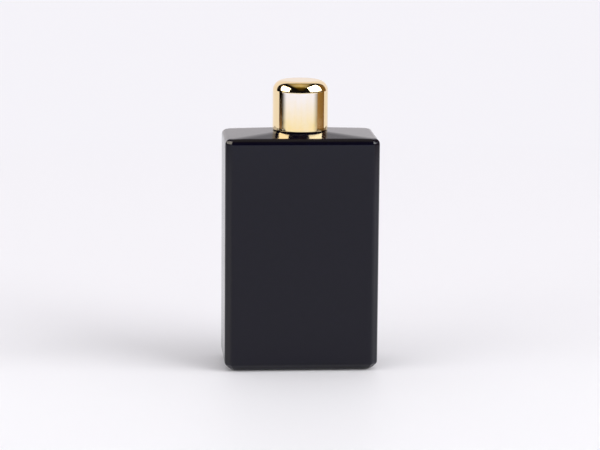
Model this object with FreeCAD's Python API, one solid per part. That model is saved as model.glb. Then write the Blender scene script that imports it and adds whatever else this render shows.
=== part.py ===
"""Screw-cap splash bottle for aftershave, about 100 ml.

Frame: +X is the wide way, +Y runs through the bottle from its front to its back, and +Z is up
along the neck. The origin is the centre of the base. Everything is in millimetres.
"""
import FreeCAD, Part
import math
import os

from FreeCAD import Vector

# glass body: an upright box with chamfered corners, a chamfered foot and a low sloping shoulder
BODY_WIDTH = 60.0
BODY_DEPTH = 34.0
CORNER_CHAMFER = 2.5
FOOT_CHAMFER = 3.0
EAVE_Z = 91.6             # where the walls would meet the shoulder's slopes
EAVE_ROUND = 2.1
SHOULDER_TOP_Z = 93.2
SHOULDER_TOP_WIDTH = 24.0
SHOULDER_TOP_DEPTH = 16.6
SHOULDER_TOP_CHAMFER = 4.0
WALL = 4.0
BASE_THICKNESS = 7.0
CAVITY_CORNER = 4.0
CAVITY_FLOOR_ROUND = 3.0
CAVITY_EAVE_Z = 87.0
CAVITY_TOP_Z = 90.0
CAVITY_TOP_WIDTH = 11.0
CAVITY_ROOF_STEP = 0.5    # how far the roof's slopes start inside the cavity's walls
PUSH_UP_INSET = 7.0       # from the body's walls to the shallow hollow under the base
PUSH_UP_CHAMFER = 1.4
PUSH_UP_DRAFT = 1.0       # how much the hollow widens over each millimetre downwards
PUSH_UP_DEPTH = 0.6

# neck: an 18-415 screw finish standing on a low cone
LIP_Z = 109.4
LIP_ROUND = 0.6
THREAD_PITCH = 3.175
NECK_RADIUS = 7.85
BORE_RADIUS = 5.0
NECK_THREAD_RADIUS = 8.8
NECK_THREAD_FOOT = 2.2    # width of the thread's ridge where it leaves the neck
NECK_THREAD_CREST = 0.8
NECK_THREAD_TURNS = 2.0
NECK_THREAD_Z = 101.3
CONE_FOOT_RADIUS = 13.0
CONE_FOOT_Z = 92.4
CONE_TOP_RADIUS = 8.2
CONE_TOP_Z = 94.0

# cap: a thin metal shell pressed over a threaded plastic liner
CAP_RADIUS = 10.8
CAP_RIM_Z = 93.6
CAP_TOP_Z = 112.95
CAP_FILLET = 4.2
SHELL_WALL = 0.5
SHELL_RIM_ROUND = 0.2
GLUE_GAP = 0.05
LINER_RIM_Z = 94.6
LINER_TOP_WALL = 1.2
LINER_SKIRT_RADIUS = 9.85
LINER_BORE_RADIUS = 9.05
LINER_THREAD_RADIUS = 8.1
LINER_THREAD_FOOT = 1.3
LINER_THREAD_CREST = 0.6
LINER_THREAD_TURNS = 1.5
RIB_COUNT = 12
RIB_WIDTH = 0.8
LINER_TOP_Z = CAP_TOP_Z - SHELL_WALL - GLUE_GAP
LINER_CEILING_Z = LINER_TOP_Z - LINER_TOP_WALL

# sealing wad and pouring insert
SEAL_GAP = 0.02
WAD_RADIUS = 8.0
REDUCER_FLANGE_RADIUS = 7.4
REDUCER_FLANGE = 0.8
REDUCER_SKIRT_RADIUS = 4.85
REDUCER_SKIRT_LENGTH = 9.4
REDUCER_RING_COUNT = 3
REDUCER_RING_START = 1.2  # from the lip down to the first ring
REDUCER_RING_HEIGHT = 0.8
REDUCER_RING_PITCH = 2.6
REDUCER_INNER_RADIUS = 4.1
REDUCER_DISC = 1.0
REDUCER_RECESS = 6.0
REDUCER_ORIFICE_RADIUS = 2.2

OVERLAP = 0.3             # how far joined solids reach into each other
PAST = 1.0                # how far a cutter runs past the face that it cuts
LEVEL = 1e-6              # how far apart two heights may be and still count as one


def octagon(width, depth, chamfer, z):
    """A rectangle with chamfered corners, as a closed wire at height z."""
    x = width / 2
    y = depth / 2
    corners = [
        (x, -y + chamfer), (x, y - chamfer), (x - chamfer, y), (-x + chamfer, y),
        (-x, y - chamfer), (-x, -y + chamfer), (-x + chamfer, -y), (x - chamfer, -y),
    ]
    return Part.makePolygon([Vector(px, py, z) for px, py in corners + corners[:1]])


def inset_octagon(width, depth, chamfer, inset, z):
    """The same outline with every side moved inwards by inset."""
    smaller_chamfer = chamfer - inset * (2 - math.sqrt(2))
    return octagon(width - 2 * inset, depth - 2 * inset, smaller_chamfer, z)


def loft(lower, upper):
    return Part.makeLoft([lower, upper], True, True)


def cylinder(radius, low, high):
    return Part.makeCylinder(radius, high - low, Vector(0, 0, low))


def rounded_box(width, depth, low, high, corner):
    """A box centred on the Z axis with rounded upright edges."""
    box = Part.makeBox(width, depth, high - low, Vector(-width / 2, -depth / 2, low))
    upright = [e for e in box.Edges if abs(e.BoundBox.ZLength - (high - low)) < LEVEL]
    return box.makeFillet(corner, upright)


def edges_at(shape, z):
    """The edges that lie flat at height z."""
    boxes = [(edge, edge.BoundBox) for edge in shape.Edges]
    return [edge for edge, box in boxes if max(abs(box.ZMin - z), abs(box.ZMax - z)) < LEVEL]


def helical_ridge(root_radius, crest_radius, foot, crest, turns, z):
    """A right-hand thread ridge from z upwards, between two radii, inwards or outwards."""
    path = Part.makeHelix(THREAD_PITCH, THREAD_PITCH * turns, root_radius)
    corners = [
        Vector(root_radius, 0, -foot / 2), Vector(crest_radius, 0, -crest / 2),
        Vector(crest_radius, 0, crest / 2), Vector(root_radius, 0, foot / 2),
    ]
    profile = Part.makePolygon(corners + corners[:1])
    ridge = Part.Wire(path).makePipeShell([profile], True, True)
    ridge.translate(Vector(0, 0, z))
    return ridge


def glass_outside():
    foot = loft(
        inset_octagon(BODY_WIDTH, BODY_DEPTH, CORNER_CHAMFER, FOOT_CHAMFER, 0),
        octagon(BODY_WIDTH, BODY_DEPTH, CORNER_CHAMFER, FOOT_CHAMFER),
    )
    walls = loft(
        octagon(BODY_WIDTH, BODY_DEPTH, CORNER_CHAMFER, FOOT_CHAMFER),
        octagon(BODY_WIDTH, BODY_DEPTH, CORNER_CHAMFER, EAVE_Z),
    )
    shoulder = loft(
        octagon(BODY_WIDTH, BODY_DEPTH, CORNER_CHAMFER, EAVE_Z),
        octagon(SHOULDER_TOP_WIDTH, SHOULDER_TOP_DEPTH, SHOULDER_TOP_CHAMFER, SHOULDER_TOP_Z),
    )
    body = foot.fuse([walls, shoulder]).removeSplitter()
    return body.makeFillet(EAVE_ROUND, edges_at(body, EAVE_Z))


def glass_cavity():
    """The space for the liquid: a rounded box with a roof that narrows to the bore."""
    width = BODY_WIDTH - 2 * WALL
    depth = BODY_DEPTH - 2 * WALL
    box = rounded_box(width, depth, BASE_THICKNESS, CAVITY_EAVE_Z, CAVITY_CORNER)
    box = box.makeFillet(CAVITY_FLOOR_ROUND, edges_at(box, BASE_THICKNESS))
    roof_width = width - 2 * CAVITY_ROOF_STEP
    roof_depth = depth - 2 * CAVITY_ROOF_STEP
    roof = loft(
        octagon(roof_width, roof_depth, CAVITY_CORNER, CAVITY_EAVE_Z - OVERLAP),
        octagon(CAVITY_TOP_WIDTH, CAVITY_TOP_WIDTH, CAVITY_CORNER, CAVITY_TOP_Z),
    )
    bore = cylinder(BORE_RADIUS, CAVITY_TOP_Z - OVERLAP, LIP_Z + PAST)
    return box.fuse([roof, bore])


def push_up():
    """The shallow hollow under the base, as a cutter that starts below the foot."""
    width = BODY_WIDTH - 2 * PUSH_UP_INSET
    depth = BODY_DEPTH - 2 * PUSH_UP_INSET
    spread = 2 * PUSH_UP_DRAFT * (PUSH_UP_DEPTH + PAST)
    return loft(
        octagon(width + spread, depth + spread, PUSH_UP_CHAMFER, -PAST),
        octagon(width, depth, PUSH_UP_CHAMFER, PUSH_UP_DEPTH),
    )


def glass_bottle():
    cone = Part.makeCone(
        CONE_FOOT_RADIUS, CONE_TOP_RADIUS, CONE_TOP_Z - CONE_FOOT_Z, Vector(0, 0, CONE_FOOT_Z)
    )
    neck = cylinder(NECK_RADIUS, CONE_FOOT_Z, LIP_Z)
    neck = neck.makeFillet(LIP_ROUND, edges_at(neck, LIP_Z))
    solid = glass_outside().fuse([cone, neck]).cut(glass_cavity())
    thread = helical_ridge(
        NECK_RADIUS - OVERLAP, NECK_THREAD_RADIUS, NECK_THREAD_FOOT, NECK_THREAD_CREST,
        NECK_THREAD_TURNS, NECK_THREAD_Z,
    )
    return solid.cut(push_up()).fuse(thread)


def orifice_reducer():
    """A flanged plug with sealing rings, closed by a disc with a small pouring hole."""
    top = LIP_Z + REDUCER_FLANGE
    bottom = LIP_Z - REDUCER_SKIRT_LENGTH
    solids = [
        cylinder(REDUCER_FLANGE_RADIUS, LIP_Z, top),
        cylinder(REDUCER_SKIRT_RADIUS, bottom, LIP_Z + OVERLAP),
    ]
    for ring in range(REDUCER_RING_COUNT):
        low = LIP_Z - REDUCER_RING_START - REDUCER_RING_HEIGHT - ring * REDUCER_RING_PITCH
        solids.append(cylinder(BORE_RADIUS, low, low + REDUCER_RING_HEIGHT))
    plug = solids[0].fuse(solids[1:])
    disc_top = top - REDUCER_RECESS
    recess = cylinder(REDUCER_INNER_RADIUS, disc_top, top + PAST)
    hollow = cylinder(REDUCER_INNER_RADIUS, bottom - PAST, disc_top - REDUCER_DISC)
    orifice = cylinder(REDUCER_ORIFICE_RADIUS, bottom - PAST, top + PAST)
    return plug.cut(recess.fuse([hollow, orifice]))


def domed_cylinder(radius, low, high, fillet):
    body = cylinder(radius, low, high)
    return body.makeFillet(fillet, edges_at(body, high))


def cap_shell():
    outside = domed_cylinder(CAP_RADIUS, CAP_RIM_Z, CAP_TOP_Z, CAP_FILLET)
    inside = domed_cylinder(
        CAP_RADIUS - SHELL_WALL, CAP_RIM_Z - PAST, CAP_TOP_Z - SHELL_WALL, CAP_FILLET - SHELL_WALL
    )
    shell = outside.cut(inside)
    return shell.makeFillet(SHELL_RIM_ROUND, edges_at(shell, CAP_RIM_Z))


def cap_liner():
    """The plastic inner cap: skirt, crush ribs, top wall and the thread inside."""
    gap = SHELL_WALL + GLUE_GAP
    envelope = domed_cylinder(CAP_RADIUS - gap, LINER_RIM_Z, LINER_TOP_Z, CAP_FILLET - gap)
    solids = [cylinder(LINER_SKIRT_RADIUS, LINER_RIM_Z, LINER_TOP_Z)]
    for rib in range(RIB_COUNT):
        block = Part.makeBox(
            CAP_RADIUS - LINER_BORE_RADIUS, RIB_WIDTH, LINER_TOP_Z - LINER_RIM_Z,
            Vector(LINER_BORE_RADIUS + OVERLAP, -RIB_WIDTH / 2, LINER_RIM_Z),
        )
        block.rotate(Vector(), Vector(0, 0, 1), rib * 360 / RIB_COUNT)
        solids.append(block)
    skirt = solids[0].fuse(solids[1:]).common(envelope)
    skirt = skirt.cut(cylinder(LINER_BORE_RADIUS, LINER_RIM_Z - PAST, LINER_CEILING_Z))
    thread = helical_ridge(
        LINER_BORE_RADIUS + OVERLAP, LINER_THREAD_RADIUS, LINER_THREAD_FOOT, LINER_THREAD_CREST,
        LINER_THREAD_TURNS, NECK_THREAD_Z - THREAD_PITCH / 2,
    )
    return skirt.fuse(thread)


def sealing_wad():
    return cylinder(WAD_RADIUS, LIP_Z + REDUCER_FLANGE + SEAL_GAP, LINER_CEILING_Z - SEAL_GAP)


PARTS = {
    "glass_bottle": glass_bottle,
    "orifice_reducer": orifice_reducer,
    "sealing_wad": sealing_wad,
    "cap_liner": cap_liner,
    "cap_shell": cap_shell,
}


def main():
    os.makedirs("parts", exist_ok=True)
    for name, build in PARTS.items():
        shape = build()
        shape.exportStep(os.path.join("parts", name + ".step"))
        print(name, "solids", len(shape.Solids), "valid", shape.isValid(), "mm3", round(shape.Volume))


main()
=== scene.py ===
"""Looks of the aftershave bottle: a black glass bottle with a gold screw cap on a pale studio floor.

Shapes are worked out in the row frame in millimetres and written into meshes in metres.
"""
import math

import bpy
import numpy as np
from mathutils import Matrix, Vector


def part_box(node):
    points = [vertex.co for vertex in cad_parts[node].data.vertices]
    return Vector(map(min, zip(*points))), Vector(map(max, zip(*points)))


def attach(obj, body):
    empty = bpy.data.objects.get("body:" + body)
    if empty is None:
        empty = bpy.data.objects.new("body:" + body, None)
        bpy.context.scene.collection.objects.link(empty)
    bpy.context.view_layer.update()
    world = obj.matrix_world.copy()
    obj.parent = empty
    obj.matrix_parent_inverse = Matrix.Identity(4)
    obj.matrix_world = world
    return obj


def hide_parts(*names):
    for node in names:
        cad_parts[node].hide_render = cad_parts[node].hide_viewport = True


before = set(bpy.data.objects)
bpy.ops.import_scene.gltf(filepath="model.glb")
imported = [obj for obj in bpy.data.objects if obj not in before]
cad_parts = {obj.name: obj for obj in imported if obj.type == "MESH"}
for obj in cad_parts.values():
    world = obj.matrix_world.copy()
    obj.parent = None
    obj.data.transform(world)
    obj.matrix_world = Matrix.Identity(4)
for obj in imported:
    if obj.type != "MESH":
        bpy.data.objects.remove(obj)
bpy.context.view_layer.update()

MM = 0.001


def box_mm(node):
    """A CAD node's lowest and highest corners in millimetres."""
    low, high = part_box(node)
    return low / MM, high / MM


GLASS_HIGH = box_mm("glass_bottle")[1]
SHELL_LOW, SHELL_HIGH = box_mm("cap_shell")
LINER_LOW, LINER_HIGH = box_mm("cap_liner")
INSERT_LOW, INSERT_HIGH = box_mm("orifice_reducer")
WAD_LOW, WAD_HIGH = box_mm("sealing_wad")

# glass body
HALF_WIDTH = GLASS_HIGH.x
HALF_DEPTH = GLASS_HIGH.y
CORNER_CHAMFER = 2.5
CORNER_ROUND = 0.5
FOOT_CHAMFER = 3.0
FOOT_ROUND = 0.5
FOOT_EDGE_ROUND = 1.2
EAVE_Z = 91.6
EAVE_ROUND = 2.1
FRONT_SLOPE = 0.182
SIDE_SLOPE = 0.089
HIP_BLEND = 0.45
CORE_INSET = 4.0
CONE_TOP_RADIUS = 8.2
CONE_TOP_Z = 94.0
CONE_BASE_RADIUS = 8.9
CONE_SLOPE = 1 / 3
CONE_BLEND = 0.3
PUSH_UP_INSET = 7.0
PUSH_UP_DEPTH = 0.6
PUSH_UP_CORNER = 1.0
WALL = 4.0
CAVITY_CORNER = 4.0
CAVITY_FLOOR = 7.0
CAVITY_FLOOR_ROUND = 3.0
CAVITY_EAVE_Z = 87.0
CAVITY_TOP_Z = 90.0

# neck and threads
LIP_Z = GLASS_HIGH.z
LIP_ROUND = 0.6
NECK_RADIUS = 7.85
BORE_RADIUS = 5.0
LIP_INNER_ROUND = 0.4
THREAD_PITCH = 3.175
THREAD_START_Z = 101.3
NECK_THREAD = {"crest": 8.8, "width": 2.2, "turns": 2.0, "z": THREAD_START_Z}
LINER_BORE_RADIUS = 9.05
LINER_THREAD = {"crest": 8.1, "width": 1.3, "turns": 1.5, "z": THREAD_START_Z - THREAD_PITCH / 2}
RIDGE_SINK = 0.25
RIDGE_END_SINK = 0.8 * RIDGE_SINK
RIDGE_FADE_TURNS = 0.14
RIDGE_ROUNDNESS = 0.75

# cap
CAP_RADIUS = SHELL_HIGH.x
CAP_RIM_Z = SHELL_LOW.z
CAP_TOP_Z = SHELL_HIGH.z
CAP_FILLET = 4.2
SHELL_WALL = 0.5
RIBS = 12

# how finely things are cut, and how near the axis counts as on it
RING = 192
HALVINGS = 40
ON_AXIS = 1e-9


# ---- mesh helpers ----

def smooth_max(a, b, blend):
    """The larger of a and b, with the crease between them rounded off."""
    near = np.maximum(blend - np.abs(a - b), 0) / blend
    return np.maximum(a, b) + near * near * blend / 4


def rounded_and(a, b, radius):
    """Distance to the shape inside both a and b, with its edge rounded to radius."""
    u = np.maximum(radius + a, 0)
    v = np.maximum(radius + b, 0)
    return np.minimum(-radius, np.maximum(a, b)) + np.hypot(u, v)


def mesh_object(name, points, faces):
    """An object from points in millimetres."""
    mesh = bpy.data.meshes.new(name)
    mesh.from_pydata([tuple(float(c) * MM for c in p) for p in points], [], faces)
    mesh.update()
    for polygon in mesh.polygons:
        polygon.use_smooth = True
    piece = bpy.data.objects.new(name, mesh)
    bpy.context.scene.collection.objects.link(piece)
    return piece


def ring_faces(rows, columns):
    """Quads between rows of points that each run once round, anticlockwise seen from the last row."""
    faces = []
    for row in range(rows - 1):
        for column in range(columns):
            following = (column + 1) % columns
            low = row * columns
            high = low + columns
            faces.append((low + column, low + following, high + following, high + column))
    return faces


def arc(centre_r, centre_z, radius, first, last, steps):
    """Profile points (r, z) on an arc, angles in degrees from the outward direction."""
    angles = np.radians(np.linspace(first, last, steps))
    return [(centre_r + radius * math.cos(a), centre_z + radius * math.sin(a)) for a in angles]


def lathe(name, profile, columns=RING):
    """Turns a closed profile of (r, z) about the Z axis; r may touch zero at its two ends."""
    angles = np.linspace(0, 2 * math.pi, columns, endpoint=False)
    points = []
    rows = []
    for r, z in profile:
        if r < ON_AXIS:
            rows.append([len(points)])
            points.append((0, 0, z))
            continue
        rows.append(list(range(len(points), len(points) + columns)))
        points.extend((r * math.cos(a), r * math.sin(a), z) for a in angles)
    faces = []
    pairs = list(zip(rows, rows[1:]))
    if profile[0][0] > ON_AXIS and profile[-1][0] > ON_AXIS:
        pairs.append((rows[-1], rows[0]))
    for low, high in pairs:
        for column in range(columns):
            following = (column + 1) % columns
            if len(low) == 1:
                faces.append((low[0], high[following], high[column]))
            elif len(high) == 1:
                faces.append((low[column], low[following], high[0]))
            else:
                faces.append((low[column], low[following], high[following], high[column]))
    return mesh_object(name, points, faces)


def join(target, *others):
    """Adds the other objects' meshes to target's."""
    bpy.ops.object.select_all(action="DESELECT")
    for piece in (target, *others):
        piece.select_set(True)
    bpy.context.view_layer.objects.active = target
    bpy.ops.object.join()
    return target


def smoothstep(t):
    """A smooth rise from 0 to 1 as t goes from 0 to 1."""
    t = np.clip(t, 0, 1)
    return t * t * (3 - 2 * t)


def thread_ridge(name, root, crest, width, turns, z):
    """A right-hand helical ridge whose two ends run out smoothly into the wall it stands on."""
    steps_per_turn = 96
    across = 11
    outward = 1 if crest > root else -1
    count = int(turns * steps_per_turn) + 1
    points = []
    for step in range(count):
        turn = step / steps_per_turn
        rise = smoothstep(turn / RIDGE_FADE_TURNS) * smoothstep((turns - turn) / RIDGE_FADE_TURNS)
        angle = 2 * math.pi * turn
        for k in range(across):
            u = k / (across - 1)
            bulge = abs(crest - root) * rise * math.sin(math.pi * u) ** RIDGE_ROUNDNESS
            height = bulge + RIDGE_END_SINK * (rise - 1) if 0 < k < across - 1 else -RIDGE_SINK
            r = root + outward * height
            offset = -width / 2 * math.cos(math.pi * u) * (0.5 + 0.5 * rise)
            points.append((r * math.cos(angle), r * math.sin(angle), z + THREAD_PITCH * turn + offset))
    faces = []
    for step in range(count - 1):
        for k in range(across):
            a = step * across + k
            b = step * across + (k + 1) % across
            quad = (a, a + across, b + across, b)
            faces.append(quad if outward > 0 else quad[::-1])
    ends = (tuple(range(across)), tuple(range((count - 1) * across, count * across))[::-1])
    for end in ends:
        faces.append(end if outward > 0 else end[::-1])
    return mesh_object(name, points, faces)


# ---- glass bottle ----

def shoulder_height(x, y):
    """Height of the shoulder: four slopes that meet at soft hips, rising to a low cone at the neck."""
    front = EAVE_Z + (HALF_DEPTH - np.abs(y)) * FRONT_SLOPE
    side = EAVE_Z + (HALF_WIDTH - np.abs(x)) * SIDE_SLOPE
    slopes = -smooth_max(-front, -side, HIP_BLEND)
    cone = CONE_TOP_Z - (np.hypot(x, y) - CONE_TOP_RADIUS) * CONE_SLOPE
    return smooth_max(slopes, cone, CONE_BLEND)


def glass_distance(p):
    """Signed distance from points to the outside of the glass body, below its neck."""
    x = np.abs(p[:, 0])
    y = np.abs(p[:, 1])
    z = p[:, 2]
    flat = np.maximum(x - HALF_WIDTH, y - HALF_DEPTH)
    corner = (x + y - (HALF_WIDTH + HALF_DEPTH - CORNER_CHAMFER)) / math.sqrt(2)
    wall = rounded_and(flat, corner, CORNER_ROUND)
    foot = rounded_and((wall + FOOT_CHAMFER - z) / math.sqrt(2), -z, FOOT_EDGE_ROUND)
    lower = rounded_and(wall, foot, FOOT_ROUND)
    shoulder = (z - shoulder_height(x, y)) * math.cos(math.atan(FRONT_SLOPE))
    return rounded_and(lower, shoulder, EAVE_ROUND)


def cast(origin, direction, reach):
    """Where rays from inside the glass body leave it."""
    near = np.zeros(len(origin))
    far = np.full(len(origin), reach)
    for _ in range(HALVINGS):
        middle = (near + far) / 2
        inside = glass_distance(origin + direction * middle[:, None]) < 0
        near = np.where(inside, middle, near)
        far = np.where(inside, far, middle)
    return origin + direction * ((near + far) / 2)[:, None]


def glass_normals(p):
    """Outward directions of the glass body's surface at points on it."""
    step = 0.01  # to each side of a point
    gradient = np.empty_like(p)
    for axis in range(3):
        offset = np.zeros(3)
        offset[axis] = step
        gradient[:, axis] = glass_distance(p + offset) - glass_distance(p - offset)
    return gradient / np.linalg.norm(gradient, axis=1)[:, None]


def glass_columns():
    """Core points and outward directions round the body, anticlockwise from the right side."""
    core_x = HALF_WIDTH - CORE_INSET
    core_y = HALF_DEPTH - CORE_INSET
    edge = math.degrees(math.atan2(CORE_INSET - CORNER_CHAMFER, CORE_INSET))
    near_edge = [-6, -3, -1.5, 0, 1.5, 3, 6]
    fan = [0, 6] + [edge + a for a in near_edge] + [36, 45, 54]
    fan += [90 - edge + a for a in near_edge] + [84, 90]
    core = []
    outward = []
    side_angle = math.atan2(core_y, HALF_WIDTH)
    front_angle = math.atan2(core_x, HALF_DEPTH)
    for quarter, (sx, sy) in enumerate([(1, 1), (-1, 1), (-1, -1), (1, -1)]):
        turn = quarter * 90
        for a in fan:
            direction = math.radians(a + turn)
            core.append((sx * core_x, sy * core_y))
            outward.append((math.cos(direction), math.sin(direction)))
        along_front = quarter % 2 == 0
        spread = front_angle if along_front else side_angle
        count = 36 if along_front else 14
        reach = HALF_DEPTH if along_front else HALF_WIDTH
        direction = math.radians(turn + 90)
        for t in np.linspace(-spread, spread, count + 1)[1:-1]:
            slide = math.tan(t) * reach
            if along_front:
                core.append((-sx * slide, sy * core_y))
            else:
                core.append((sx * core_x, -sy * slide))
            outward.append((math.cos(direction), math.sin(direction)))
    return np.array(core), np.array(outward)


def at(xy, z):
    """Points with the given x, y and one height."""
    return np.column_stack([xy, np.full(len(xy), float(z))])


def fan_row(core, outward, z, tilt):
    """One row of points cast from the core line at height z, tilted up from level by tilt degrees."""
    t = math.radians(tilt)
    direction = np.column_stack([outward * math.cos(t), np.full(len(core), math.sin(t))])
    past_the_surface = 2.2 * CORE_INSET
    return cast(at(core, z), direction, past_the_surface)


def glass_outer_rows(core, outward):
    """Rows from the edge of the push-up hollow, round the foot, up the walls and over the shoulder."""
    rows = []
    lower_core = CORE_INSET
    upper_core = EAVE_Z - CORE_INSET
    foot_fan = [-90, -84, -78, -76, -74.5, -73, -71, -68, -60, -45]
    foot_fan += [-34, -24, -18, -16, -14.5, -13, -11, -7, 0]
    rows += [fan_row(core, outward, lower_core, tilt) for tilt in foot_fan]
    wall_shares = (0.02, 0.25, 0.5, 0.75, 0.98)
    for share in wall_shares:
        z = lower_core + (upper_core - lower_core) * share
        rows.append(fan_row(core, outward, z, 0))
    eave_fan = np.linspace(0, 90, 46)
    rows += [fan_row(core, outward, upper_core, tilt) for tilt in eave_fan]
    return rows


def shoulder_rows(core, outward, last_radius):
    """Rows from the eave inwards to a circle round the neck."""
    rim = core + outward * CORE_INSET
    circle = rim / np.linalg.norm(rim, axis=1)[:, None] * last_radius
    rows = []
    row_count = 30
    for t in np.linspace(0, 1, row_count)[1:]:
        xy = core * (1 - t) + circle * t
        rows.append(np.column_stack([xy, shoulder_height(xy[:, 0], xy[:, 1])]))
    return rows


def round_rows(core, outward, profile):
    """Rows on circles about the neck's axis, with each column kept on its own bearing."""
    rim = core + outward * CORE_INSET
    bearing = rim / np.linalg.norm(rim, axis=1)[:, None]
    return [at(bearing * r, z) for r, z in profile]


def bezier(a, b, c, steps):
    """Points on a quadratic curve, without its first point."""
    points = []
    for t in np.linspace(0, 1, steps + 1)[1:]:
        points.append(tuple(a[k] * (1 - t) ** 2 + 2 * b[k] * t * (1 - t) + c[k] * t * t for k in (0, 1)))
    return points


def neck_profile():
    """From the cone up the neck, over the lip and down the bore."""
    root_z = CONE_TOP_Z + 0.12
    straight_z = root_z + 1.1
    foot = (CONE_BASE_RADIUS, CONE_TOP_Z - (CONE_BASE_RADIUS - CONE_TOP_RADIUS) * CONE_SLOPE)
    profile = [foot] + bezier(foot, (NECK_RADIUS, root_z), (NECK_RADIUS, straight_z), 10)
    outer_levels = (98.0, 101.0, 104.0, 106.5, LIP_Z - LIP_ROUND - 0.05)
    profile += [(NECK_RADIUS, z) for z in outer_levels]
    profile += arc(NECK_RADIUS - LIP_ROUND, LIP_Z - LIP_ROUND, LIP_ROUND, 0, 90, 8)
    profile += arc(BORE_RADIUS + LIP_INNER_ROUND, LIP_Z - LIP_INNER_ROUND, LIP_INNER_ROUND, 90, 180, 6)
    bore_levels = (108.0, 104.0, 100.0, 96.0, CAVITY_TOP_Z + 1.5)
    profile += [(BORE_RADIUS, z) for z in bore_levels]
    return profile


def cavity_rows(core, outward):
    """Rows from the bore down the inside of the bottle to the middle of its floor."""
    inner_x = HALF_WIDTH - WALL - CAVITY_CORNER
    inner_y = HALF_DEPTH - WALL - CAVITY_CORNER
    scale = np.array([inner_x / (HALF_WIDTH - CORE_INSET), inner_y / (HALF_DEPTH - CORE_INSET)])
    inner = core * scale
    rows = []
    for share in (0.25, 0.5, 0.75, 0.97):
        ring = inner * share + outward * (BORE_RADIUS + (CAVITY_CORNER - BORE_RADIUS) * share)
        rows.append(at(ring, CAVITY_TOP_Z + (CAVITY_EAVE_Z - CAVITY_TOP_Z) * share))
    wall = inner + outward * CAVITY_CORNER
    wall_levels = (CAVITY_EAVE_Z - 0.8, 50.0, CAVITY_FLOOR + CAVITY_FLOOR_ROUND)
    rows += [at(wall, z) for z in wall_levels]
    for angle in np.radians([20, 45, 70, 90]):
        reach = CAVITY_CORNER - CAVITY_FLOOR_ROUND * (1 - math.cos(angle))
        z = CAVITY_FLOOR + CAVITY_FLOOR_ROUND * (1 - math.sin(angle))
        rows.append(at(inner + outward * reach, z))
    rows.append(at((inner + outward * (CAVITY_CORNER - CAVITY_FLOOR_ROUND)) * 0.5, CAVITY_FLOOR))
    return rows


def underside_rows(core, outward):
    """Rows from the middle of the shallow hollow under the base out to its edge."""
    inset = PUSH_UP_INSET + PUSH_UP_CORNER
    inner = core * np.array([
        (HALF_WIDTH - inset) / (HALF_WIDTH - CORE_INSET),
        (HALF_DEPTH - inset) / (HALF_DEPTH - CORE_INSET),
    ])
    rows = [at((inner + outward * PUSH_UP_CORNER) * 0.5, PUSH_UP_DEPTH)]
    edge = ((0.6, PUSH_UP_DEPTH), (0.45, PUSH_UP_DEPTH - 0.06), (0.15, 0.06), (0.0, 0.0))
    for back, z in edge:
        rows.append(at(inner + outward * (PUSH_UP_CORNER - back), z))
    return rows


def build_glass():
    """The glass body, hollow and closed, and the thread ridge on its neck."""
    core, outward = glass_columns()
    columns = len(core)
    under = underside_rows(core, outward)
    outer = glass_outer_rows(core, outward) + shoulder_rows(core, outward, CONE_BASE_RADIUS)
    rows = under + outer
    rows += round_rows(core, outward, neck_profile()[1:])
    rows += cavity_rows(core, outward)
    points = np.vstack(rows)
    faces = ring_faces(len(rows), columns)
    bottom = len(points)
    points = np.vstack([points, [[0, 0, PUSH_UP_DEPTH], [0, 0, CAVITY_FLOOR]]])
    last = (len(rows) - 1) * columns
    for column in range(columns):
        following = (column + 1) % columns
        faces.append((bottom, following, column))
        faces.append((last + column, last + following, bottom + 1))
    body = mesh_object("bottle_glass", points, faces)
    normals = np.zeros((len(points), 3))
    first = len(under) * columns
    past = first + len(outer) * columns
    normals[first:past] = glass_normals(points[first:past])
    body.data.normals_split_custom_set_from_vertices(normals.tolist())
    ridge = thread_ridge("neck_thread", NECK_RADIUS, **NECK_THREAD)
    return body, ridge


# ---- cap, liner, insert and wad ----

def build_shell():
    """The metal shell, with a round top edge and a rim rounded inside and out."""
    inner = CAP_RADIUS - SHELL_WALL
    inner_fillet = CAP_FILLET - SHELL_WALL
    rim = 0.24
    profile = [(r, CAP_TOP_Z) for r in (0, 2.5, 5.0, 6.3)]
    profile += arc(CAP_RADIUS - CAP_FILLET, CAP_TOP_Z - CAP_FILLET, CAP_FILLET, 90, 0, 40)
    wall_levels = np.linspace(CAP_TOP_Z - CAP_FILLET - 0.4, CAP_RIM_Z + rim + 0.1, 12)
    profile += [(CAP_RADIUS, z) for z in wall_levels]
    profile += arc(CAP_RADIUS - rim, CAP_RIM_Z + rim, rim, 0, -90, 8)
    profile += arc(inner + rim, CAP_RIM_Z + rim, rim, -90, -180, 8)
    profile += [(inner, CAP_RIM_Z + 1), (inner, CAP_TOP_Z - CAP_FILLET - 0.3)]
    profile += arc(inner - inner_fillet, CAP_TOP_Z - CAP_FILLET, inner_fillet, 0, 90, 16)
    profile += [(5.0, CAP_TOP_Z - SHELL_WALL), (0, CAP_TOP_Z - SHELL_WALL)]
    return lathe("gold_cap_shell", profile[::-1])


def build_liner():
    """The inner cap: a skirt with crush ribs, a top wall and a right-hand thread."""
    skirt = 9.85
    top = LINER_HIGH.z
    low = LINER_LOW.z
    ceiling = WAD_HIGH.z + 0.02
    corner = 3.4
    profile = [(0, top)] + arc(skirt - corner, top - corner, corner, 90, 0, 12)
    profile += [(skirt, low + 0.3), (skirt - 0.12, low), (LINER_BORE_RADIUS + 0.3, low)]
    profile += [(LINER_BORE_RADIUS, low + 0.35), (LINER_BORE_RADIUS, ceiling - 0.4)]
    profile += [(LINER_BORE_RADIUS - 0.4, ceiling), (0, ceiling)]
    body = lathe("cap_liner_moulding", profile[::-1], 144)
    ridge = thread_ridge("liner_thread", LINER_BORE_RADIUS, **LINER_THREAD)
    ribs = [liner_rib(index, skirt, low, top - corner) for index in range(RIBS)]
    return join(body, ridge, *ribs)


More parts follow.
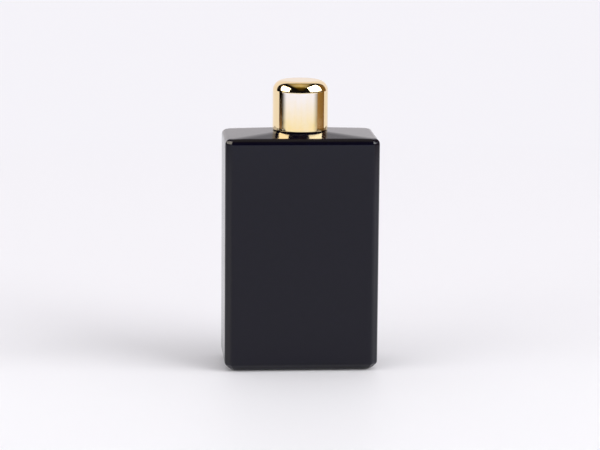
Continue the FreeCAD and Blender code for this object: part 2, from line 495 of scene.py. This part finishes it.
def liner_rib(index, skirt, low, high):
    """One upright crush rib with a tapered foot."""
    reach = LINER_HIGH.x - 0.01
    root = skirt - 0.3
    half = 0.4
    crest_half = half * 0.6
    points = []
    for z, r in ((low, skirt + 0.05), (low + 0.6, reach), (high, reach)):
        points += [(root, -half, z), (r, -crest_half, z), (r, crest_half, z), (root, half, z)]
    turn = Matrix.Rotation(math.radians(360 / RIBS * index), 3, "Z")
    points = [turn @ Vector(p) for p in points]
    faces = [(0, 3, 2, 1), (8, 9, 10, 11)]
    sides = ((0, 1, 5, 4), (1, 2, 6, 5), (2, 3, 7, 6), (3, 0, 4, 7))
    for level in (0, 4):
        faces += [tuple(level + k for k in quad) for quad in sides]
    return mesh_object("liner_rib", points, faces)


def build_insert():
    """The pouring insert: flange, ringed plug, recess with a drip collar round the hole."""
    top = INSERT_HIGH.z
    low = INSERT_LOW.z
    flange = INSERT_HIGH.x
    plug = 4.85
    recess = 4.1
    hole = 2.2
    disc_top = top - 6.0
    disc_low = disc_top - 1.0
    profile = arc(flange - 0.25, top - 0.25, 0.25, 90, 0, 6)
    profile += arc(flange - 0.2, LIP_Z + 0.2, 0.2, 0, -90, 5)
    profile += [(plug, LIP_Z)]
    ring_reach = BORE_RADIUS - 0.01
    ring_shoulder = BORE_RADIUS - 0.03
    ring_pitch = 2.6
    for ring in range(3):
        high = LIP_Z - 1.2 - ring_pitch * ring
        profile += [(plug, high), (ring_shoulder, high - 0.15), (ring_reach, high - 0.4)]
        profile += [(ring_shoulder, high - 0.65), (plug, high - 0.8)]
    profile += [(plug, low + 0.3), (plug - 0.15, low), (recess, low)]
    profile += [(recess, disc_low - 0.3), (recess - 0.3, disc_low)]
    profile += [(hole + 0.2, disc_low), (hole, disc_low + 0.2)]
    profile += arc(hole + 0.3, disc_top + 0.5, 0.3, 180, 0, 7)
    profile += [(hole + 0.62, disc_top + 0.1), (hole + 0.8, disc_top)]
    profile += arc(recess - 0.5, disc_top + 0.5, 0.5, -90, 0, 6)
    profile += [(recess, top - 0.5)] + arc(recess + 0.35, top - 0.35, 0.35, 180, 90, 6)
    return lathe("pouring_insert", profile[::-1], 128)


def build_wad():
    """The foam disc, with the ring that the insert's flange has pressed into it."""
    low = WAD_LOW.z
    high = WAD_HIGH.z
    radius = WAD_HIGH.x
    edge = 0.2
    dent_z = low + 0.06
    profile = [(0, high)] + arc(radius - edge, high - edge, edge, 90, 0, 5)
    profile += arc(radius - edge, low + edge, edge, 0, -90, 5)
    profile += [(7.55, low), (7.35, dent_z), (4.5, dent_z), (4.2, low), (0, low)]
    return lathe("foam_wad", profile[::-1], 128)


# ---- materials ----

def new_material(name):
    """A material with its nodes, its links and its shader."""
    material = bpy.data.materials.new(name)
    material.use_nodes = True
    nodes = material.node_tree.nodes
    return material, nodes, material.node_tree.links, nodes["Principled BSDF"]


def noise(nodes, links, scale, detail=2.0, roughness=0.5):
    """Noise over the object's own coordinates."""
    place = nodes.new("ShaderNodeTexCoord")
    texture = nodes.new("ShaderNodeTexNoise")
    texture.inputs["Scale"].default_value = scale
    texture.inputs["Detail"].default_value = detail
    texture.inputs["Roughness"].default_value = roughness
    links.new(place.outputs["Object"], texture.inputs["Vector"])
    return texture


def remap(nodes, links, source, low, high, first=0.0, last=1.0):
    """A value from source stretched to run from low to high."""
    node = nodes.new("ShaderNodeMapRange")
    node.inputs["From Min"].default_value = first
    node.inputs["From Max"].default_value = last
    node.inputs["To Min"].default_value = low
    node.inputs["To Max"].default_value = high
    links.new(source, node.inputs["Value"])
    return node.outputs["Result"]


def bump(nodes, links, height, distance):
    """Normals for a surface that rises by up to distance metres where height is 1."""
    node = nodes.new("ShaderNodeBump")
    node.inputs["Distance"].default_value = distance
    node.inputs["Strength"].default_value = 1.0
    links.new(height, node.inputs["Height"])
    return node.outputs["Normal"]


def black_glass():
    material, nodes, links, shader = new_material("black_glass")
    shader.inputs["Base Color"].default_value = (0.0022, 0.0019, 0.0072, 1)
    shader.inputs["IOR"].default_value = 1.36
    haze = noise(nodes, links, 60.0, 4.0, 0.6)
    links.new(remap(nodes, links, haze.outputs["Fac"], 0.10, 0.16, 0.3, 0.7), shader.inputs["Roughness"])
    swell = noise(nodes, links, 45.0, 1.0)
    links.new(bump(nodes, links, swell.outputs["Fac"], 0.000004), shader.inputs["Normal"])
    return material


def gold_metal():
    material, nodes, links, shader = new_material("gold_metal")
    shader.inputs["Base Color"].default_value = (0.95, 0.76, 0.45, 1)
    shader.inputs["Metallic"].default_value = 1.0
    haze = noise(nodes, links, 300.0, 3.0)
    links.new(remap(nodes, links, haze.outputs["Fac"], 0.05, 0.10, 0.3, 0.7), shader.inputs["Roughness"])
    peel = noise(nodes, links, 2000.0, 2.0)
    links.new(bump(nodes, links, peel.outputs["Fac"], 0.000002), shader.inputs["Normal"])
    return material


def moulded_plastic(name, colour, roughness, subsurface):
    material, nodes, links, shader = new_material(name)
    tone = noise(nodes, links, 180.0, 3.0)
    ramp = nodes.new("ShaderNodeValToRGB")
    ramp.color_ramp.elements[0].position = 0.3
    ramp.color_ramp.elements[1].position = 0.7
    ramp.color_ramp.elements[0].color = (*[c * 0.94 for c in colour], 1)
    ramp.color_ramp.elements[1].color = (*colour, 1)
    links.new(tone.outputs["Fac"], ramp.inputs["Fac"])
    links.new(ramp.outputs["Color"], shader.inputs["Base Color"])
    gloss = remap(nodes, links, tone.outputs["Fac"], roughness - 0.06, roughness + 0.06)
    links.new(gloss, shader.inputs["Roughness"])
    shader.inputs["Subsurface Weight"].default_value = subsurface
    shader.inputs["Subsurface Radius"].default_value = (0.001, 0.001, 0.001)
    shader.inputs["Subsurface Scale"].default_value = 1.0
    grain = noise(nodes, links, 2500.0, 2.0)
    links.new(bump(nodes, links, grain.outputs["Fac"], 0.00001), shader.inputs["Normal"])
    return material


def foam():
    material, nodes, links, shader = new_material("foam_wad")
    shader.inputs["Base Color"].default_value = (0.86, 0.86, 0.83, 1)
    shader.inputs["Roughness"].default_value = 0.8
    place = nodes.new("ShaderNodeTexCoord")
    cells = nodes.new("ShaderNodeTexVoronoi")
    cells.inputs["Scale"].default_value = 3500.0
    links.new(place.outputs["Object"], cells.inputs["Vector"])
    links.new(bump(nodes, links, cells.outputs["Distance"], 0.00006), shader.inputs["Normal"])
    return material


def paint(piece, material):
    piece.data.materials.clear()
    piece.data.materials.append(material)


# ---- stage ----

# Light levels are radiances: 1 is the level that renders as white.
# Painted light: bearings and tones of the glowing stand-in for the lit table in front, seen only in
# reflections.
FRONT_CARD_BEARINGS = (*range(-90, -60, 3), -50, -25, 0, 25, *range(42, 78, 3))
FRONT_CARD_TONES = {
    0.64: (1.02, 0.90, 0.30), 0.66: (1.02, 0.94, 0.44), 0.69: (1.01, 1.02, 0.95),
    0.73: (1.00, 1.05, 1.24), 0.77: (1.00, 1.10, 1.54), 0.815: (0.99, 1.13, 1.85),
    0.865: (0.98, 1.18, 2.11), 0.92: (0.965, 1.23, 2.37), 1.00: (0.95, 1.28, 2.70),
}
SIDE_CARD_RADIUS = 0.62
BACKDROP_Y = 2.6
CEILING_Z = 4.7
FLOOR_SIZE = 12.0
SOFTBOX_DISTANCE = 1.1
SUN_WIDTH_DEGREES = 50
# Panels are placed round this height, and the glowing side of every card is turned to this point.
PANEL_CENTRE_Z = 0.11
GLOW_FACES = Vector((0, 0, 0.1))
WARM = (7.0, 6.4, 5.4)
BRIGHT = (7.5, 7.5, 7.5)


def floor_material():
    """A pale sheet with painted light, a shade brighter towards the front, and with a soft gloss round the
    bottle only.
    """
    material, nodes, links, shader = new_material("studio_floor")
    place = nodes.new("ShaderNodeTexCoord")
    axes = nodes.new("ShaderNodeSeparateXYZ")
    links.new(place.outputs["Object"], axes.inputs["Vector"])
    # Painted light: the floor's colour runs from brighter in front of the bottle to a shade darker behind
    # it.
    depth = remap(nodes, links, axes.outputs["Y"], 0.0, 1.0, -0.06, 0.10)
    ramp = nodes.new("ShaderNodeValToRGB")
    ramp.color_ramp.elements[0].color = (0.87, 0.86, 0.89, 1)
    ramp.color_ramp.elements[1].color = (0.83, 0.815, 0.85, 1)
    links.new(depth, ramp.inputs["Fac"])
    links.new(ramp.outputs["Color"], shader.inputs["Base Color"])
    shader.inputs["Roughness"].default_value = 0.5
    distance = nodes.new("ShaderNodeVectorMath")
    distance.operation = "LENGTH"
    links.new(place.outputs["Object"], distance.inputs[0])
    gloss = remap(nodes, links, distance.outputs["Value"], 0.16, 0.0, 0.15, 0.6)
    links.new(gloss, shader.inputs["Specular IOR Level"])
    return material


def glow_material():
    """Gives off each point's own colour from its front, and lets everything through from behind."""
    material = bpy.data.materials.new("studio_glow")
    material.use_nodes = True
    nodes = material.node_tree.nodes
    links = material.node_tree.links
    nodes.clear()
    colour = nodes.new("ShaderNodeAttribute")
    colour.attribute_name = "glow"
    glow = nodes.new("ShaderNodeEmission")
    clear = nodes.new("ShaderNodeBsdfTransparent")
    side = nodes.new("ShaderNodeNewGeometry")
    mix = nodes.new("ShaderNodeMixShader")
    out = nodes.new("ShaderNodeOutputMaterial")
    links.new(colour.outputs["Color"], glow.inputs["Color"])
    links.new(side.outputs["Backfacing"], mix.inputs["Fac"])
    links.new(glow.outputs["Emission"], mix.inputs[1])
    links.new(clear.outputs["BSDF"], mix.inputs[2])
    links.new(mix.outputs["Shader"], out.inputs["Surface"])
    return material


def away(bearing, elevation):
    """The direction from the bottle towards a bearing and elevation. Bearing 0 is in front, + is right."""
    a = math.radians(bearing)
    e = math.radians(elevation)
    return Vector((math.sin(a) * math.cos(e), -math.cos(a) * math.cos(e), math.sin(e)))


def floor_sheet(size):
    half = size / 2
    mesh = bpy.data.meshes.new("floor")
    corners = [(-half, -half, 0), (half, -half, 0), (half, half, 0), (-half, half, 0)]
    mesh.from_pydata(corners, [], [(0, 1, 2, 3)])
    floor = bpy.data.objects.new("floor", mesh)
    bpy.context.scene.collection.objects.link(floor)
    paint(floor, floor_material())


def reflected_card(name, rows, colours, material):
    """A sheet glowing towards the bottle that only shiny surfaces see; it doesn't light or hide anything."""
    columns = len(rows[0])
    points = [point for row in rows for point in row]
    faces = []
    for row in range(len(rows) - 1):
        for column in range(columns - 1):
            corner = row * columns + column
            quad = (corner, corner + 1, corner + columns + 1, corner + columns)
            a, b, c = (points[k] for k in quad[:3])
            faces_bottle = (b - a).cross(c - a).dot(a - GLOW_FACES) < 0
            faces.append(quad if faces_bottle else quad[::-1])
    mesh = bpy.data.meshes.new(name)
    mesh.from_pydata(points, [], faces)
    glow = mesh.color_attributes.new("glow", "FLOAT_COLOR", "POINT")
    for item, colour in zip(glow.data, colours):
        item.color = (*colour, 1)
    card = bpy.data.objects.new(name, mesh)
    bpy.context.scene.collection.objects.link(card)
    card.visible_camera = False
    card.visible_diffuse = False
    card.visible_shadow = False
    card.visible_transmission = False
    paint(card, material)


def front_card(material):
    """Painted light seen only in reflections: a glowing stand-in for the lit table in front, cooler further
    out, with painted shade darker to its left, and darker and warmer to its right.
    """
    warmth = np.array((1.0, 1.1, 1.35))
    rows = []
    colours = []
    for radius, tone in FRONT_CARD_TONES.items():
        rows.append([away(bearing, 0) * radius + Vector((0, 0, 0.001)) for bearing in FRONT_CARD_BEARINGS])
        for bearing in FRONT_CARD_BEARINGS:
            # Painted shade: the glow fades out to the left and goes darker and warmer to the right.
            left = smoothstep((bearing + 87) / 25)
            right = 0.3 + 0.7 * smoothstep((76 - bearing) / 28)
            colours.append(np.array(tone) * left * right ** warmth)
    reflected_card("front_card", rows, colours, material)


def side_card(name, first, last, height, low_colour, colour, fade, material):
    """An upright glowing card standing on the floor between two bearings, seen only in reflections: painted
    light in low_colour along its foot and colour above, its tone times fade at the last one.
    """
    bearings = np.linspace(first, last, 5)
    heights = (0.0, 0.012, 0.022, height)
    rows = [[away(b, 0) * SIDE_CARD_RADIUS + Vector((0, 0, z)) for b in bearings] for z in heights]
    shares = (0.0, 0.6, 1.0, 1.0)
    colours = []
    for share in shares:
        tone = np.array(low_colour) * (1 - share) + np.array(colour) * share
        colours += [tone * level for level in np.linspace(1, fade, len(bearings))]
    reflected_card(name, rows, colours, material)


def panel(name, corners, distance, colour, material):
    """A four-sided card given by its distance and its corners' bearings and elevations."""
    directions = [away(*corner) for corner in corners]
    middle = sum(directions, Vector()).normalized()
    points = [d * (distance / d.dot(middle)) + Vector((0, 0, PANEL_CENTRE_Z)) for d in directions]
    reflected_card(name, [points[:2], points[:1:-1]], [colour] * 4, material)


def backdrop(material):
    """A pale sheet that hangs behind the bottle, narrower towards its top."""
    outline = ((-1.9, 1.4, 0.0), (-1.25, 0.97, 0.8), (-0.62, 0.67, 1.3), (-0.4, 0.5, 1.7))
    rows = [[Vector((x, 1, z)) * BACKDROP_Y for x in (left, right)] for left, right, z in outline]
    reflected_card("backdrop", rows, [(0.92, 0.88, 0.91)] * 2 * len(rows), material)


def ceiling(material):
    """Painted light seen only in reflections: a glowing stand-in for the dim warm ceiling, brightest
    overhead, low and brown in front, out at its sides and its end.
    """
    depths = (0.55, 0.2, 0.0, -0.27, -0.53, -0.84, -1.2, -1.7, -1.95)
    # Painted light: the ceiling's glow in rows from behind the bottle to in front of it.
    tones = (
        (0.42, 0.38, 0.26), (0.5, 0.4, 0.16), (0.66, 0.54, 0.35), (0.6, 0.54, 0.27), (0.25, 0.17, 0.02),
        (0.05, 0.03, 0.004), (0.05, 0.03, 0.004), (0.05, 0.035, 0.004), (0.0, 0.0, 0.0),
    )
    sides = ((-0.5, 0.0), (-0.3, 0.7), (0.0, 1.0), (0.3, 0.6), (0.45, 0.0))
    rows = [[Vector((x, y, 1)) * CEILING_Z for x, _ in sides] for y in depths]
    colours = [np.array(tone) * share for tone in tones for _, share in sides]
    reflected_card("ceiling", rows, colours, material)


def soft_sun(name, bearing, elevation, strength):
    """Even light from a wide soft source; shiny surfaces see the softbox panels in its place."""
    light = bpy.data.lights.new(name, "SUN")
    light.energy = strength
    light.angle = math.radians(SUN_WIDTH_DEGREES)
    lamp = bpy.data.objects.new(name, light)
    bpy.context.scene.collection.objects.link(lamp)
    lamp.rotation_mode = "QUATERNION"
    lamp.rotation_quaternion = away(bearing, elevation).to_track_quat("Z", "Y")
    lamp.visible_glossy = False


def build_world():
    """A pale room for the camera, soft light all round for matt surfaces, and darkness for shiny ones."""
    world = bpy.data.worlds.new("studio")
    bpy.context.scene.world = world
    world.use_nodes = True
    nodes = world.node_tree.nodes
    links = world.node_tree.links
    nodes.clear()
    path = nodes.new("ShaderNodeLightPath")
    out = nodes.new("ShaderNodeOutputWorld")

    def light(colour):
        background = nodes.new("ShaderNodeBackground")
        background.inputs["Color"].default_value = (*colour, 1)
        return background.outputs["Background"]

    def choose(test, otherwise, chosen):
        mix = nodes.new("ShaderNodeMixShader")
        links.new(path.outputs[test], mix.inputs["Fac"])
        links.new(otherwise, mix.inputs[1])
        links.new(chosen, mix.inputs[2])
        return mix.outputs["Shader"]

    for_matt = choose("Is Diffuse Ray", light((0.005, 0.005, 0.005)), light((0.70, 0.70, 0.71)))
    links.new(choose("Is Camera Ray", for_matt, light((0.87, 0.86, 0.89))), out.inputs["Surface"])


def build_stage():
    build_world()
    floor_sheet(FLOOR_SIZE)
    material = glow_material()
    backdrop(material)
    ceiling(material)
    front_card(material)
    # Painted light in the reflections: a black card with a brown glow along its foot, and a brown glowing
    # card that dims towards its far end.
    side_card("left_flag", -102, -86, 0.13, (0.38, 0.21, 0.09), (0.0, 0.0, 0.0), 1.0, material)
    side_card("right_card", 71, 113, 0.09, (0.38, 0.23, 0.12), (0.35, 0.21, 0.07), 0.55, material)
    # Painted light: a dim brown glowing stand-in for a wall to the right, seen only in reflections.
    panel("right_wall", ((100, -2), (130, -2), (128, 42), (110, 42)), 1.6, (0.2, 0.11, 0.03), material)
    left_corners = ((-92, 9), (-52, 9), (-54, 42), (-115, 44))
    right_corners = ((39, 9), (93, 8), (114, 52), (35, 52))
    panel("softbox_left", left_corners, SOFTBOX_DISTANCE, WARM, material)
    panel("softbox_right", right_corners, SOFTBOX_DISTANCE, BRIGHT, material)
    soft_sun("sun_left", -60, 26, 0.8)
    soft_sun("sun_right", 60, 26, 2.1)


# ---- camera ----

def build_camera():
    """A long lens a little to the left of the bottle's front and above it, tipped by a small roll."""
    roll = math.radians(0.47)
    distance = 1.0342
    target = Vector((0.00028, 0, 0.05538))
    bearing = -4.48
    elevation = 10.16
    back = away(bearing, elevation)
    right = Vector((0, 0, 1)).cross(back).normalized()
    up = back.cross(right)
    tilted_right = right * math.cos(roll) + up * math.sin(roll)
    tilted_up = up * math.cos(roll) - right * math.sin(roll)
    camera_data = bpy.data.cameras.new("camera")
    camera_data.sensor_width = 36
    camera_data.lens = 157.6
    camera = bpy.data.objects.new("camera", camera_data)
    bpy.context.scene.collection.objects.link(camera)
    turn = Matrix((tilted_right, tilted_up, back)).transposed().to_4x4()
    camera.matrix_world = Matrix.Translation(target + back * distance) @ turn
    bpy.context.scene.camera = camera


def main():
    glass, ridge = build_glass()
    glass_look = black_glass()
    paint(glass, glass_look)
    paint(ridge, glass_look)
    for piece in (glass, ridge):
        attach(piece, "bottle")
    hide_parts("glass_bottle")

    shell = build_shell()
    paint(shell, gold_metal())
    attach(shell, "cap")
    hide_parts("cap_shell")

    liner = build_liner()
    paint(liner, moulded_plastic("liner_plastic", (0.80, 0.79, 0.75), 0.45, 0.2))
    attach(liner, "cap")
    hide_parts("cap_liner")

    insert = build_insert()
    paint(insert, moulded_plastic("white_insert", (0.84, 0.84, 0.83), 0.35, 0.5))
    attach(insert, "bottle")
    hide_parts("orifice_reducer")

    wad = build_wad()
    paint(wad, foam())
    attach(wad, "seal")
    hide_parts("sealing_wad")

    build_stage()
    build_camera()
    bpy.context.scene.view_settings.view_transform = "Standard"


main()
